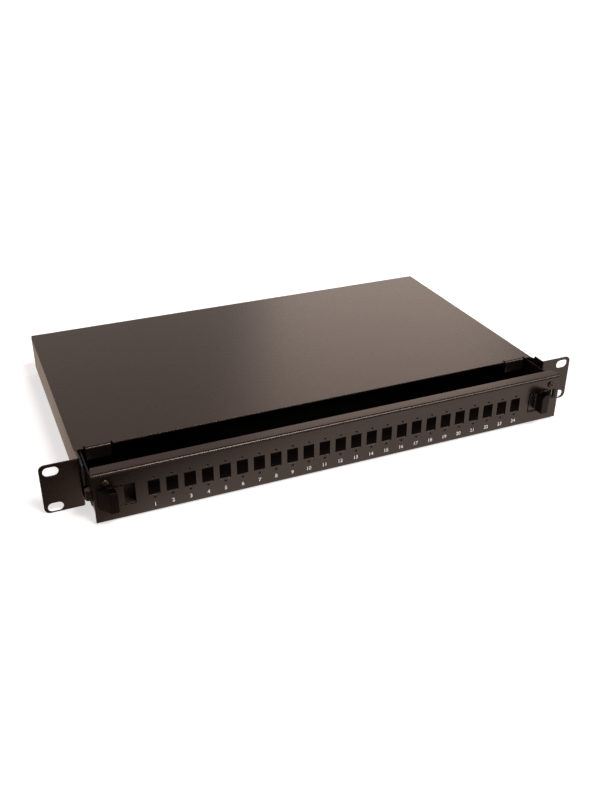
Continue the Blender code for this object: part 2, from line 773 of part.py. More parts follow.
def front_panel():
    """The folded front sheet: 24 ports with their screw holes, two latch windows, a top flange."""
    half = PANEL_WIDTH / 2
    middle = PANEL_FRONT + PANEL_SHEET / 2
    top = PANEL_TOP - PANEL_SHEET / 2
    fold = folded(
        [(middle, PANEL_BOTTOM), (middle, top), (PANEL_FRONT + PANEL_FLANGE, top)],
        PANEL_SHEET, PANEL_BEND,
    )
    panel = prism("front_panel", fold, "X", -half, half)
    back = PANEL_FRONT + PANEL_FLANGE
    bend = PANEL_BACK + PANEL_BEND
    corners = []
    for side in ("left", "right"):
        slanted = [
            (half - PANEL_FLANGE_CHAMFER, back), (half, bend), (half + SHEET, bend),
            (half + SHEET, back + SHEET), (half - PANEL_FLANGE_CHAMFER, back + SHEET),
        ]
        corner = prism("corner", slanted, "Z", PANEL_TOP - PANEL_SHEET * 2, PANEL_TOP + SHEET)
        corners.append(sided(corner, side))
    cut(panel, *corners)
    screws = panel_screw_cutters(PANEL_FRONT, PANEL_BACK)
    return cut(panel, *port_cutters(), *latch_cutters(), *screws)


def port_centres():
    """X of every port, from left to right."""
    first = -(PORT_COUNT - 1) * PORT_PITCH / 2
    return [first + index * PORT_PITCH for index in range(PORT_COUNT)]


def port_cutters():
    """The ports and the two fixing holes of each."""
    near = PANEL_FRONT - SHEET
    far = PANEL_BACK + SHEET
    low = PORT_CENTRE_Z - PORT_HEIGHT / 2
    high = PORT_CENTRE_Z + PORT_HEIGHT / 2
    tools = []
    for x in port_centres():
        outline = rectangle((x - PORT_WIDTH / 2, low), (x + PORT_WIDTH / 2, high))
        tools.append(prism("port", outline, "Y", near, far))
        for sign in (-1, 1):
            hole = (x, PORT_CENTRE_Z + sign * PORT_HOLE_SPACING / 2)
            outline = circle(hole, PORT_HOLE, PORT_HOLE_SIDES)
            tools.append(prism("port_hole", outline, "Y", near, far))
    return tools


def window_outline(inset, inner, high):
    """A latch window: a shelf closes its lower outer corner, the bolt lies in the notch over it."""
    low = LATCH_WINDOW_LOW + inset
    outer = LATCH_WINDOW_OUTER - inset
    shelf = LATCH_SHELF_HIGH + inset
    step = outer - LATCH_SHELF_WIDTH
    return [
        (inner, low), (step, low), (step, shelf), (outer, shelf), (outer, high), (inner, high),
    ]


def latch_cutters():
    """The two latch windows."""
    outline = window_outline(0.0, LATCH_WINDOW_INNER, LATCH_WINDOW_HIGH)
    near = PANEL_FRONT - SHEET
    far = PANEL_BACK + SHEET
    return [sided(prism("window", outline, "Y", near, far), side) for side in ("left", "right")]


def panel_screw_cutters(front, back):
    """Holes for the two panel screws through a sheet."""
    tools = []
    for x in (-PANEL_SCREW_X, PANEL_SCREW_X):
        outline = circle((x, PANEL_SCREW_Z), SCREW_HOLE, HOLE_SIDES)
        tools.append(prism("hole", outline, "Y", front - SHEET, back + SHEET))
    return tools


def drawer_tray():
    """The sliding tray: floor, walls, dipped rear wall, front lip and the panel's screw flanges."""
    middle = DRAWER_OUTER - SHEET / 2
    floor_middle = DRAWER_BOTTOM + SHEET / 2
    walls = trough(middle, floor_middle, DRAWER_WALL_TOP)
    tray = prism("drawer_tray", walls, "Y", DRAWER_FRONT, DRAWER_REAR)
    rear_half = DRAWER_OUTER - SHEET_SETBACK
    low = DRAWER_BOTTOM + SHEET_SETBACK
    shoulder = rear_half - DRAWER_REAR_SHOULDER
    dip = shoulder - DRAWER_REAR_SLOPE
    right_half = [
        (rear_half, low), (rear_half, DRAWER_WALL_TOP),
        (shoulder, DRAWER_WALL_TOP), (dip, DRAWER_REAR_DIP),
    ]
    outline = right_half + [(-x, z) for x, z in reversed(right_half)]
    join(tray, prism("rear", outline, "Y", DRAWER_REAR - SHEET, DRAWER_REAR))
    lip = block(
        "lip",
        (-DRAWER_LIP_WIDTH / 2, DRAWER_FRONT, low),
        (DRAWER_LIP_WIDTH / 2, DRAWER_FRONT + SHEET, DRAWER_BOTTOM + DRAWER_LIP_HEIGHT),
    )
    join(tray, lip)
    notches = []
    for side in ("left", "right"):
        join(tray, sided(screw_flange(), side))
        notches.append(sided(corner_notch(), side))
        notches.append(sided(bolt_notch(), side))
    screws = panel_screw_cutters(DRAWER_FRONT, DRAWER_FRONT + SHEET)
    return cut(tray, *notches, *screws, *stud_cutters())


def screw_flange():
    """Flange folded in behind the panel at the right, above the latch."""
    middle = DRAWER_OUTER - SHEET / 2
    face = DRAWER_FRONT + SHEET / 2
    back = DRAWER_FRONT + SCREW_FLANGE_RETURN
    path = [(middle, back), (middle, face), (DRAWER_OUTER - SCREW_FLANGE_WIDTH, face)]
    plan = folded(path, SHEET, BEND)
    return prism("flange", plan, "Z", POCKET_HIGH + HOLE_CLEARANCE, SCREW_FLANGE_TOP)


def corner_notch():
    """Cut-away lower front corner of the drawer's right wall."""
    low = (DRAWER_OUTER - NOTCH_WIDTH, DRAWER_FRONT - SHEET, DRAWER_BOTTOM - SHEET)
    high = (DRAWER_OUTER + SHEET, DRAWER_FRONT + NOTCH_DEPTH, DRAWER_BOTTOM + NOTCH_HEIGHT)
    return block("notch", low, high)


def bolt_notch():
    """Notch in the drawer's right wall for the latch bolt."""
    low = (DRAWER_INNER - SHEET, DRAWER_FRONT - SHEET, BOLT_LOW - HOLE_CLEARANCE)
    high = (DRAWER_OUTER + SHEET, BOLT_REAR + HOLE_CLEARANCE, BOLT_HIGH + HOLE_CLEARANCE)
    return block("bolt_notch", low, high)


def stud_places():
    """The centres of the splice tray's two studs."""
    return [(TRAY_X + sign * TRAY_STUD_SPACING / 2, TRAY_Y) for sign in (-1, 1)]


def stud_cutters():
    """Holes in the drawer floor for the tray studs."""
    low = DRAWER_BOTTOM - SHEET
    high = DRAWER_FLOOR + SHEET
    diameter = TRAY_STUD + HOLE_CLEARANCE * 2
    return [
        prism("stud_hole", circle(place, diameter, HOLE_SIDES), "Z", low, high)
        for place in stud_places()
    ]


def panel_screw():
    """The right screw that holds the panel to the drawer."""
    seat = PANEL_FRONT - TOUCH
    return pan_screw("panel_screw", (PANEL_SCREW_X, seat, PANEL_SCREW_Z), (0, -1, 0), SCREW_LENGTH)


def panel_nut():
    """The nut behind the drawer's right screw flange."""
    low = DRAWER_FRONT + SHEET + TOUCH
    high = low + NUT_HEIGHT
    centre = (PANEL_SCREW_X, PANEL_SCREW_Z)
    nut = prism("panel_nut", hexagon(centre, NUT_FLATS), "Y", low, high)
    bore = circle(centre, SCREW_THREAD + TOUCH * 2, HOLE_SIDES)
    return cut(nut, prism("bore", bore, "Y", low - SHEET, high + SHEET))


def latch_housing():
    """Right latch housing: a pocket behind the panel whose rim stands in the panel's window."""
    housing = block(
        "latch_housing",
        (POCKET_INNER, POCKET_FRONT, POCKET_LOW),
        (POCKET_OUTER, POCKET_REAR, POCKET_HIGH),
    )
    rim = window_outline(TOUCH, LATCH_WINDOW_INNER + TOUCH, LATCH_WINDOW_HIGH - TOUCH)
    join(housing, prism("rim", rim, "Y", PANEL_FRONT + TOUCH, POCKET_FRONT + TOUCH))
    cavity = block(
        "cavity",
        (POCKET_INNER + LATCH_WALL, POCKET_FRONT + LATCH_WALL, POCKET_LOW + LATCH_WALL),
        (POCKET_OUTER - LATCH_WALL, POCKET_REAR - LATCH_WALL, POCKET_HIGH - LATCH_WALL),
    )
    cut(housing, cavity)
    inset = TOUCH + LATCH_RIM
    mouth = window_outline(inset, POCKET_INNER + LATCH_WALL, POCKET_HIGH - LATCH_WALL)
    cut(housing, prism("mouth", mouth, "Y", PANEL_FRONT, POCKET_FRONT + LATCH_WALL + TOUCH))
    open_edges = window_outline(inset, POCKET_INNER, POCKET_HIGH)
    cut(housing, prism("open_edges", open_edges, "Y", PANEL_FRONT, POCKET_FRONT))
    bolt_way = block(
        "bolt_way",
        (POCKET_OUTER - LATCH_WALL * 2, BOLT_FRONT - HOLE_CLEARANCE, BOLT_LOW - HOLE_CLEARANCE),
        (POCKET_OUTER + SHEET, BOLT_REAR + HOLE_CLEARANCE, BOLT_HIGH + HOLE_CLEARANCE),
    )
    return cut(housing, bolt_way)


def finger_tab():
    """Right finger tab, bolt out: hollow from above, with a ramp on its outer side."""
    face = rectangle((GRIP_TAB_INNER, GRIP_TAB_LOW), (GRIP_TAB_OUTER, GRIP_TAB_HIGH))
    face = rounded(face, [GRIP_TAB_CORNER, GRIP_TAB_CORNER, GRIP_TAB_CORNER, GRIP_TAB_ROUND])
    tab = prism("finger_tab", face, "Y", GRIP_TAB_FRONT, GRIP_TAB_REAR)
    inner = GRIP_TAB_INNER + GRIP_TAB_WALL
    outer = GRIP_TAB_OUTER - GRIP_TAB_WALL
    hollow = block(
        "hollow",
        (inner, GRIP_TAB_FRONT + GRIP_TAB_WALL, GRIP_TAB_LOW + GRIP_TAB_FLOOR),
        (outer, GRIP_TAB_REAR - GRIP_TAB_WALL, GRIP_TAB_HIGH + SHEET),
    )
    cut(tab, hollow)
    ramp_start = GRIP_TAB_OUTER - GRIP_TAB_WALL / 2
    ramp_front = GRIP_TAB_FRONT + GRIP_RAMP_EDGE
    ramp_end = GRIP_TAB_OUTER + GRIP_RAMP_REACH
    ramp_plan = [
        (ramp_start, ramp_front), (GRIP_TAB_OUTER, ramp_front),
        (ramp_end, GRIP_TAB_REAR - GRIP_RAMP_EDGE), (ramp_end, GRIP_TAB_REAR),
        (ramp_start, GRIP_TAB_REAR),
    ]
    ramp_low = GRIP_TAB_LOW + GRIP_TAB_CORNER
    ramp = prism("ramp", ramp_plan, "Z", ramp_low, GRIP_TAB_HIGH - GRIP_TAB_CORNER)
    join(tab, ramp)
    return cut(tab, peg("socket", HOLE_CLEARANCE))


def peg(name, clearance):
    """The peg that holds a finger tab on its slider, or with a clearance the tab's hole for it."""
    half = GRIP_PEG_WIDTH / 2 + clearance
    rise = GRIP_PEG_HEIGHT / 2 + clearance
    x = (GRIP_TAB_INNER + GRIP_TAB_OUTER) / 2
    z = (GRIP_TAB_LOW + GRIP_TAB_HIGH) / 2
    front = GRIP_TAB_REAR - GRIP_PEG_REACH
    return block(name, (x - half, front, z - rise), (x + half, GRIP_TAB_REAR + TOUCH * 2, z + rise))


def latch_slider():
    """Right latch slider, bolt out: plate, neck and peg, foot and round-ended bolt in one piece."""
    plate_low = LATCH_WINDOW_LOW + TOUCH + LATCH_RIM + HOLE_CLEARANCE
    plate_high = LATCH_WINDOW_HIGH - LATCH_GAP
    plate = block(
        "latch_slider",
        (GRIP_INNER, PANEL_FRONT + TOUCH, plate_low),
        (GRIP_TAB_INNER + GRIP_TAB_WALL, BOLT_FRONT + TOUCH * 2, plate_high),
    )
    neck = block(
        "neck",
        (GRIP_TAB_INNER + TOUCH, GRIP_TAB_REAR + TOUCH, GRIP_TAB_LOW + GRIP_TAB_CORNER),
        (GRIP_TAB_INNER + GRIP_NECK_WIDTH, BOLT_FRONT + TOUCH, plate_high - TOUCH),
    )
    root_inner = GRIP_TAB_OUTER - GRIP_ROOT_WIDTH
    root = block(
        "root",
        (root_inner, BOLT_FRONT, plate_low + TOUCH),
        (GRIP_TAB_OUTER, GRIP_REAR, plate_high - TOUCH),
    )
    foot = block(
        "foot",
        (POCKET_INNER + LATCH_WALL + TOUCH + LATCH_TRAVEL, GRIP_REAR - GRIP_FOOT, FOOT_LOW),
        (POCKET_OUTER - LATCH_WALL - TOUCH, GRIP_REAR, FOOT_HIGH),
    )
    bolt_plan = rectangle((root_inner + TOUCH, BOLT_FRONT + TOUCH), (BOLT_TIP, BOLT_REAR))
    bolt_plan = rounded(bolt_plan, [0, BOLT_ROUND, BOLT_ROUND, 0], BOLT_STEPS)
    bolt = prism("bolt", bolt_plan, "Z", BOLT_LOW, BOLT_HIGH)
    return join(plate, neck, peg("peg", 0.0), root, foot, bolt)


def tray_outline(inset):
    """The splice tray's outline, drawn in by an inset."""
    half_x = TRAY_LENGTH / 2 - inset
    half_y = TRAY_WIDTH / 2 - inset
    low = (TRAY_X - half_x, TRAY_Y - half_y)
    high = (TRAY_X + half_x, TRAY_Y + half_y)
    return rounded(rectangle(low, high), TRAY_CORNER - inset, CORNER_STEPS)


def splice_tray():
    """Open tray with rounded ends, four fibre gates, keepers and two stud bosses."""
    tray = prism("splice_tray", tray_outline(0.0), "Z", TRAY_BOTTOM, TRAY_TOP)
    floor = TRAY_BOTTOM + TRAY_SKIN
    cut(tray, prism("inside", tray_outline(TRAY_SKIN), "Z", floor, TRAY_TOP + SHEET))
    half_x = TRAY_LENGTH / 2
    half_y = TRAY_WIDTH / 2
    gates = []
    for sign_x in (-1, 1):
        for sign_y in (-1, 1):
            x = TRAY_X + sign_x * half_x
            y = TRAY_Y + sign_y * (half_y - TRAY_CORNER - TRAY_GATE / 2)
            low = (x - TRAY_SKIN * 2, y - TRAY_GATE / 2, floor + TRAY_SKIN)
            high = (x + TRAY_SKIN * 2, y + TRAY_GATE / 2, TRAY_TOP + SHEET)
            gates.append(block("gate", low, high))
    cut(tray, *gates)
    for sign in (-1, 1):
        edge = TRAY_Y + sign * (half_y - TRAY_SKIN / 2)
        inner = edge - sign * TRAY_KEEPER_REACH
        low = (TRAY_X - TRAY_KEEPER_LENGTH / 2, min(edge, inner), TRAY_TOP - TRAY_SKIN)
        high = (TRAY_X + TRAY_KEEPER_LENGTH / 2, max(edge, inner), TRAY_TOP - TOUCH)
        join(tray, block("keeper", low, high))
    for place in stud_places():
        boss = circle(place, TRAY_STUD_FOOT, BORE_SIDES)
        join(tray, prism("boss", boss, "Z", floor - TRAY_SKIN / 2, TRAY_TOP))
    return cut(tray, *tray_bores(TRAY_BOTTOM - SHEET, TRAY_TOP + SHEET))


def tray_bores(low, high):
    """Clearance holes round the tray's studs."""
    diameter = TRAY_STUD + TOUCH * 2
    return [
        prism("bore", circle(place, diameter, BORE_SIDES), "Z", low, high)
        for place in stud_places()
    ]


def splice_tray_lid():
    """Flat clear lid on the splice tray."""
    lid = prism("splice_tray_lid", tray_outline(0.0), "Z", LID_BOTTOM, LID_TOP)
    return cut(lid, *tray_bores(LID_BOTTOM - SHEET, LID_TOP + SHEET))


def splice_holder(name, y):
    """A comb whose grooves hold splice sleeves, on the tray's floor."""
    base = TRAY_BOTTOM + TRAY_SKIN + TOUCH
    top = base + COMB_HEIGHT
    floor = base + COMB_BASE
    width = COMB_GROOVES * COMB_PITCH + COMB_RIB
    start = y - width / 2
    outline = [(start, base), (start + width, base), (start + width, top)]
    for index in range(COMB_GROOVES, 0, -1):
        right = start + index * COMB_PITCH
        left = right - COMB_PITCH + COMB_RIB
        outline += [(right, top), (right, floor), (left, floor), (left, top)]
    outline.append((start, top))
    return prism(name, outline, "X", TRAY_X - COMB_LENGTH / 2, TRAY_X + COMB_LENGTH / 2)


def tray_stud(name, place):
    """A threaded stud on a foot, standing on the drawer floor with its tail through it."""
    foot = TRAY_STUD_FOOT / 2
    thread = TRAY_STUD / 2
    seat = DRAWER_FLOOR + TOUCH
    tail = DRAWER_BOTTOM + TOUCH
    chamfer = TRAY_STUD_CHAMFER
    profile = [
        (0.0, tail), (thread, tail), (thread, seat), (foot, seat), (foot, STUD_FOOT_TOP),
        (thread, STUD_FOOT_TOP), (thread, STUD_TOP - chamfer), (thread - chamfer, STUD_TOP),
        (0.0, STUD_TOP),
    ]
    return turned(name, profile, (0, 0, 1), (place[0], place[1], 0.0), BORE_SIDES)


def tray_nut(name, place):
    """A thumb nut with a fluted rim."""
    low = LID_TOP + TOUCH
    high = STUD_TOP - TOUCH
    x, y = place
    outline = []
    for step in range(TRAY_NUT_FLUTES * 2):
        angle = math.pi * step / TRAY_NUT_FLUTES
        radius = TRAY_NUT / 2 - (0.0 if step % 2 else TRAY_NUT_FLUTE_DEPTH)
        outline.append((x + radius * math.cos(angle), y + radius * math.sin(angle)))
    nut = prism(name, outline, "Z", low, high)
    bore = circle(place, TRAY_STUD + TOUCH * 2, BORE_SIDES)
    return cut(nut, prism("bore", bore, "Z", low - SHEET, high + SHEET))


def fibre_ring(name, x, y):
    """A split guide ring that stands on the drawer floor."""
    low = DRAWER_FLOOR + TOUCH + RING_SKIN / 2
    high = low + RING_HEIGHT - RING_SKIN
    half = (RING_WIDTH - RING_SKIN) / 2
    slit = RING_SLIT / 2
    path = [
        (x - slit, high), (x - half, high), (x - half, low), (x + half, low), (x + half, high),
        (x + slit, high),
    ]
    outline = folded(path, RING_SKIN, RING_BEND)
    return prism(name, outline, "Y", y - RING_LENGTH / 2, y + RING_LENGTH / 2)


def tie_mount(name, x):
    """A saddle with a tunnel for a cable tie, on the drawer floor."""
    low = DRAWER_FLOOR + TOUCH
    high = low + TIE_HEIGHT
    y = TIE_Y
    saddle = block(
        name,
        (x - TIE_LENGTH / 2, y - TIE_WIDTH / 2, low),
        (x + TIE_LENGTH / 2, y + TIE_WIDTH / 2, high),
    )
    groove = circle((x, high + TIE_SADDLE_LIFT), TIE_SADDLE)
    cut(saddle, prism("groove", groove, "Y", y - TIE_WIDTH, y + TIE_WIDTH))
    tunnel = block(
        "tunnel",
        (x - TIE_LENGTH, y - TIE_TUNNEL_WIDTH / 2, low + TOUCH * 2),
        (x + TIE_LENGTH, y + TIE_TUNNEL_WIDTH / 2, low + TOUCH * 2 + TIE_TUNNEL_HEIGHT),
    )
    return cut(saddle, tunnel)


def hang(item, parent, origin):
    """Moves a piece's origin to a point in rack coordinates and hangs it on an empty."""
    item.data.transform(Matrix.Translation(-Vector(origin)))
    item.parent = parent
    item.location = Vector(origin) - Vector(parent["rack_point"])


def empty(name, point, parent=None):
    """An empty at a point in rack coordinates."""
    item = bpy.data.objects.new(name, None)
    bpy.context.collection.objects.link(item)
    item["rack_point"] = list(point)
    if parent is None:
        item.location = Vector(point) + Vector((0.0, EAR_FACE_Y, 0.0))
    else:
        item.parent = parent
        item.location = Vector(point) - Vector(parent["rack_point"])
    return item


def build():
    """Makes every piece and hangs it on its body."""
    clear_scene()
    rack = empty("rack", (0.0, 0.0, 0.0))
    drawer = empty("drawer", (0.0, PANEL_FRONT, DRAWER_BOTTOM), rack)
    chassis_pieces = [
        (chassis_base(), "dark_paint"),
        (top_cover(), "dark_paint"),
        (cover_screw("cover_screw_left", rear_screw_places()[0]), "blued_steel"),
        (cover_screw("cover_screw_middle", rear_screw_places()[1]), "blued_steel"),
        (cover_screw("cover_screw_right", rear_screw_places()[2]), "blued_steel"),
        (earth_stud(), "zinc"),
        (earth_washer(), "zinc"),
        (earth_nut(), "brass"),
    ]
    drawer_pieces = [
        (drawer_tray(), "dark_paint"),
        (front_panel(), "panel_paint"),
        (splice_tray(), "white_plastic"),
        (splice_tray_lid(), "smoke_plastic"),
        (splice_holder("splice_holder_front", TRAY_Y - COMB_OFFSET), "grey_nylon"),
        (splice_holder("splice_holder_rear", TRAY_Y + COMB_OFFSET), "grey_nylon"),
        (fibre_ring("fibre_ring_front_left", -RING_X, RING_FRONT_Y), "black_plastic"),
        (fibre_ring("fibre_ring_front_right", RING_X, RING_FRONT_Y), "black_plastic"),
        (fibre_ring("fibre_ring_rear_left", -RING_X, RING_REAR_Y), "black_plastic"),
        (fibre_ring("fibre_ring_rear_right", RING_X, RING_REAR_Y), "black_plastic"),
        (tie_mount("tie_mount_left", -TIE_X), "black_plastic"),
        (tie_mount("tie_mount_right", TIE_X), "black_plastic"),
    ]
    for side, place in zip(("left", "right"), stud_places()):
        drawer_pieces += [
            (tray_stud("tray_stud_" + side, place), "zinc"),
            (tray_nut("tray_nut_" + side, place), "black_plastic"),
            (rename(sided(panel_screw(), side), "panel_screw_" + side), "blued_steel"),
            (rename(sided(panel_nut(), side), "panel_nut_" + side), "zinc"),
        ]
        chassis_pieces += [
            (rename(sided(glide_strip(), side), "glide_strip_" + side), "grey_nylon"),
            (rename(sided(cable_grommet(), side), "cable_grommet_" + side), "black_rubber"),
            (rename(sided(blanking_plug(), side), "blanking_plug_" + side), "black_rubber"),
        ]
        drawer_pieces += [
            (rename(sided(drawer_pad(), side), "drawer_pad_" + side), "grey_nylon"),
            (rename(sided(latch_housing(), side), "latch_housing_" + side), "black_plastic"),
        ]
        tip = BOLT_TIP - LATCH_DRAWN_IN[side]
        axis_x = -tip if side == "left" else tip
        axis_point = (axis_x, (BOLT_FRONT + BOLT_REAR) / 2, (BOLT_LOW + BOLT_HIGH) / 2)
        latch = empty("latch_" + side, axis_point, drawer)
        moving = [
            (latch_slider(), "latch_slider_", "panel_paint"),
            (finger_tab(), "finger_tab_", "black_plastic"),
        ]
        for item, name, finish in moving:
            item.data.transform(Matrix.Translation((-LATCH_DRAWN_IN[side], 0.0, 0.0)))
            rename(sided(item, side), name + side)
            paint(item, finish)
            hang(item, latch, axis_point)
    for item, finish in chassis_pieces:
        paint(item, finish)
        hang(item, rack, (0.0, 0.0, 0.0))
    for item, finish in drawer_pieces:
        paint(item, finish)
        hang(item, drawer, (0.0, PANEL_FRONT, DRAWER_BOTTOM))


build()
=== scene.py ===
"""Looks of the sliding fibre patch panel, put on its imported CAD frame.

X runs along the rack's width, +Y goes into the rack and +Z is up. Sizes are in metres.
The CAD pieces keep their places and meshes: modifiers soften their edges, and each gets a
procedural finish. The port numbers and the low steps of the side walls are made here.
"""

import math

import bpy
from mathutils import Matrix, Vector


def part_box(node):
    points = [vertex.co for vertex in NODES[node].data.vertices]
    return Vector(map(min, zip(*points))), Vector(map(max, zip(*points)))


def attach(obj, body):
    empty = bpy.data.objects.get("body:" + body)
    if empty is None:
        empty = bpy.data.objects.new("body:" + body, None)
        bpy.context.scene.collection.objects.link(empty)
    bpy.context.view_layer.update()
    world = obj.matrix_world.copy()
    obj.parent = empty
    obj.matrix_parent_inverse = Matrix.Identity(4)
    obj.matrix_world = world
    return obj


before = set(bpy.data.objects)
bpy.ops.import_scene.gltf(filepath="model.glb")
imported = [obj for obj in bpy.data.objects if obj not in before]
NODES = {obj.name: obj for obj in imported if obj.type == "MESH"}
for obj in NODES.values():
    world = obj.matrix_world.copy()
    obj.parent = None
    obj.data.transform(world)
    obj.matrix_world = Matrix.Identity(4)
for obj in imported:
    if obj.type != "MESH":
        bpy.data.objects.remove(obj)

bpy.context.view_layer.update()

# Camera, as fitted to the photograph's ports, rack slots and sheet edges
CAMERA_PLACE = (-0.27685, -0.68553, 0.39836)
CAMERA_RIGHT = (0.9205, -0.3908, 0.0015)
CAMERA_UP = (0.1866, 0.4429, 0.8769)
CAMERA_LENS = 39.54
CAMERA_SHIFT = (0.00156, -0.00125)
CAMERA_REACH = 50.0

# Printed numbers
PORT_COUNT = 24
PORT_PITCH = 0.01412
NUMBER_Z = 0.0068
NUMBER_SIZE = 0.0046
NUMBER_BOLD = 0.00007
NUMBER_STEPS = 4
INK = 0.00005

# Step of each side wall between the ear's strip and the cover
SHOULDER_LENGTH = 0.0053
SHOULDER_THICK = 0.0012
SHOULDER_OUT = 0.0004
SHOULDER_DROP = 0.0014
SHOULDER_RISE = 0.0012
SHOULDER_GAP = 0.0003
SHOULDER_EDGE = 0.00015

WHITE_LIGHT = (1.0, 1.0, 1.0)

# Key lamps, each with the direction it shines from and its power, and the rear panel
KEYS = [
    ((0.24, -0.52, 0.82), 1.25),
    ((0.42, -0.48, 0.77), 0.55),
    ((0.60, -0.44, 0.67), 0.30),
]
KEY_ANGLE = 13.0
KEY_COLOUR = (1.0, 0.995, 0.99)
REAR_FROM = (1.07, 1.70, 0.85)
REAR_AT = (0.1, 0.05, 0.03)
REAR_SIZE = (0.87, 1.0)
REAR_POWER = 3.5
REAR_COLOUR = (1.0, 0.85, 0.73)

# Floor: what the camera sees of it
FLOOR_WHITE = 0.74
FLOOR_ROUGH = 0.9
FLOOR_GLOW = 0.58
FLOOR_HALF = 20.0
FLOOR_GAP = 0.0002

# Floor: what gloss mirrors of it, a painted reflection: a glow seen by glossy rays alone, the
# product of three painted shades. Each has the direction in which it changes, the places where it
# starts and ends, and its colours from 0 to 1 between them. The first runs from the front to the
# rear, with a painted dark band before the front panel. The second is painted dim before the left
# end, and the third is painted dim and warm beside the left wall.
PAINTED_REFLECTION_SHADES = [
    ((0.35, 1.0, 0.0), (-0.60, 0.30), [
        (0.20, (1.10, 1.04, 1.00)), (0.31, (0.50, 0.47, 0.45)), (0.37, (0.02, 0.02, 0.02)),
        (0.45, (1.45, 1.36, 1.30)), (0.67, (1.10, 1.00, 0.92)), (0.87, (0.55, 0.45, 0.38)),
    ]),
    ((1.0, 0.25, 0.0), (-0.265, -0.20), [
        (0.0, (0.34, 0.28, 0.25)), (0.50, (0.66, 0.58, 0.53)), (1.0, WHITE_LIGHT),
    ]),
    ((1.0, -0.6, 0.0), (-0.335, -0.145), [
        (0.0, (0.84, 0.76, 0.69)), (0.28, (0.60, 0.54, 0.49)), (0.76, (0.59, 0.53, 0.485)),
        (1.0, WHITE_LIGHT),
    ]),
]

# Surroundings: colour by height, and brightness from the camera's side to the rear
WORLD_STOPS = [
    (0.30, (0.80, 0.72, 0.67)), (0.42, (0.50, 0.39, 0.365)), (0.52, (0.58, 0.455, 0.425)),
    (0.66, (0.92, 0.73, 0.68)), (0.88, (0.22, 0.18, 0.17)),
]
FRONT_FROM = (-0.6, 0.3)
FRONT_DIM = 0.50

# Noises of the finishes: waves per metre, detail and roughness
COAT_CLOUDS = (9.0, 3.0)
COAT_SHEEN = (420.0, 2.0)
COAT_PEEL = (620.0, 2.0, 0.55)
COAT_GRAIN = (2600.0, 1.0)
SKIN_PATCHES = (60.0, 3.0)
SKIN_SHEEN = (900.0, 2.0)
SKIN_PEEL = (3200.0, 2.0, 0.6)
PLATE_PATCHES = (350.0, 3.0)
PLATE_MARKS = (2400.0, 3.0, 0.6)
LID_PATCHES = (40.0, 2.0)
LID_SHEEN = (500.0, 2.0)
NOISE_FROM = (0.3, 0.7)

# The darkest and lightest share of a finish's colour
COAT_SHARES = (0.88, 1.14)
SKIN_SHARES = (0.85, 1.2)
PLATE_SHARES = (0.72, 1.0)
LID_SHARES = (0.92, 1.0)

# How far roughness strays below and above a finish's own
COAT_STRAY = (-0.02, 0.02)
SKIN_STRAY = (-0.05, 0.06)
PLATE_STRAY = (-0.08, 0.12)

# Heights of the bumps
COAT_HEIGHT = 0.000006
PANEL_HEIGHT = 0.0000025
GRAIN_HEIGHT = 0.0000012
SKIN_HEIGHT = 0.00001
RUBBER_HEIGHT = 0.00002
PLATE_HEIGHT = 0.000006

LID_IOR = 1.49
LID_CLEAR = 0.85
LID_ROUGH = (0.08, 0.16)

# Softening of the CAD pieces
WELD_GAP = 0.000002
PLANE_ANGLE = 0.5
CORNER_ANGLE = 50.0
BEVEL_STEPS = 2


# Stage

def add(name, data):
    """A new object in the scene."""
    item = bpy.data.objects.new(name, data)
    bpy.context.scene.collection.objects.link(item)
    return item


def make_lamp(name, kind, place, target, power, colour):
    """A lamp at a place, facing a target; the camera doesn't see it."""
    data = bpy.data.lights.new(name, kind)
    data.energy = power
    data.color = colour
    item = add(name, data)
    item.location = place
    item.rotation_euler = (Vector(target) - Vector(place)).to_track_quat("-Z", "Y").to_euler()
    item.visible_camera = False
    return data


def make_lamps():
    """A bank of key lamps from the front and above, and a low panel behind the right end."""
    for index, (place, power) in enumerate(KEYS):
        key = make_lamp(f"key_{index + 1}", "SUN", place, (0.0, 0.0, 0.0), power, KEY_COLOUR)
        key.angle = math.radians(KEY_ANGLE)
    rear = make_lamp("rear_panel", "AREA", REAR_FROM, REAR_AT, REAR_POWER, REAR_COLOUR)
    rear.shape = "RECTANGLE"
    rear.size, rear.size_y = REAR_SIZE


def make_camera():
    """The photograph's viewpoint."""
    data = bpy.data.cameras.new("camera")
    data.lens = CAMERA_LENS
    data.shift_x, data.shift_y = CAMERA_SHIFT
    data.clip_end = CAMERA_REACH
    camera = add("camera", data)
    right = Vector(CAMERA_RIGHT).normalized()
    up = Vector(CAMERA_UP)
    up = (up - right * up.dot(right)).normalized()
    turn = Matrix((right, up, right.cross(up))).transposed().to_4x4()
    camera.matrix_world = Matrix.Translation(CAMERA_PLACE) @ turn
    bpy.context.scene.camera = camera


def fill_ramp(ramp, stops):
    """Gives a colour ramp its stops."""
    for _ in stops[2:]:
        ramp.elements.new(1.0)
    for element, (place, colour) in zip(ramp.elements, stops):
        element.position = place
        element.color = (*colour, 1.0)


def painted_reflection_shade(tree, place, direction, ends, stops):
    """A painted reflection shade: a colour that changes over the floor in one direction, from one
    place to another.
    """
    along = tree.nodes.new("ShaderNodeVectorMath")
    along.operation = "DOT_PRODUCT"
    along.inputs[1].default_value = direction
    tree.links.new(place, along.inputs[0])
    part = tree.nodes.new("ShaderNodeMapRange")
    part.inputs["From Min"].default_value, part.inputs["From Max"].default_value = ends
    tree.links.new(along.outputs["Value"], part.inputs["Value"])
    ramp = tree.nodes.new("ShaderNodeValToRGB")
    fill_ramp(ramp.color_ramp, stops)
    tree.links.new(part.outputs["Result"], ramp.inputs[0])
    return ramp.outputs["Color"]


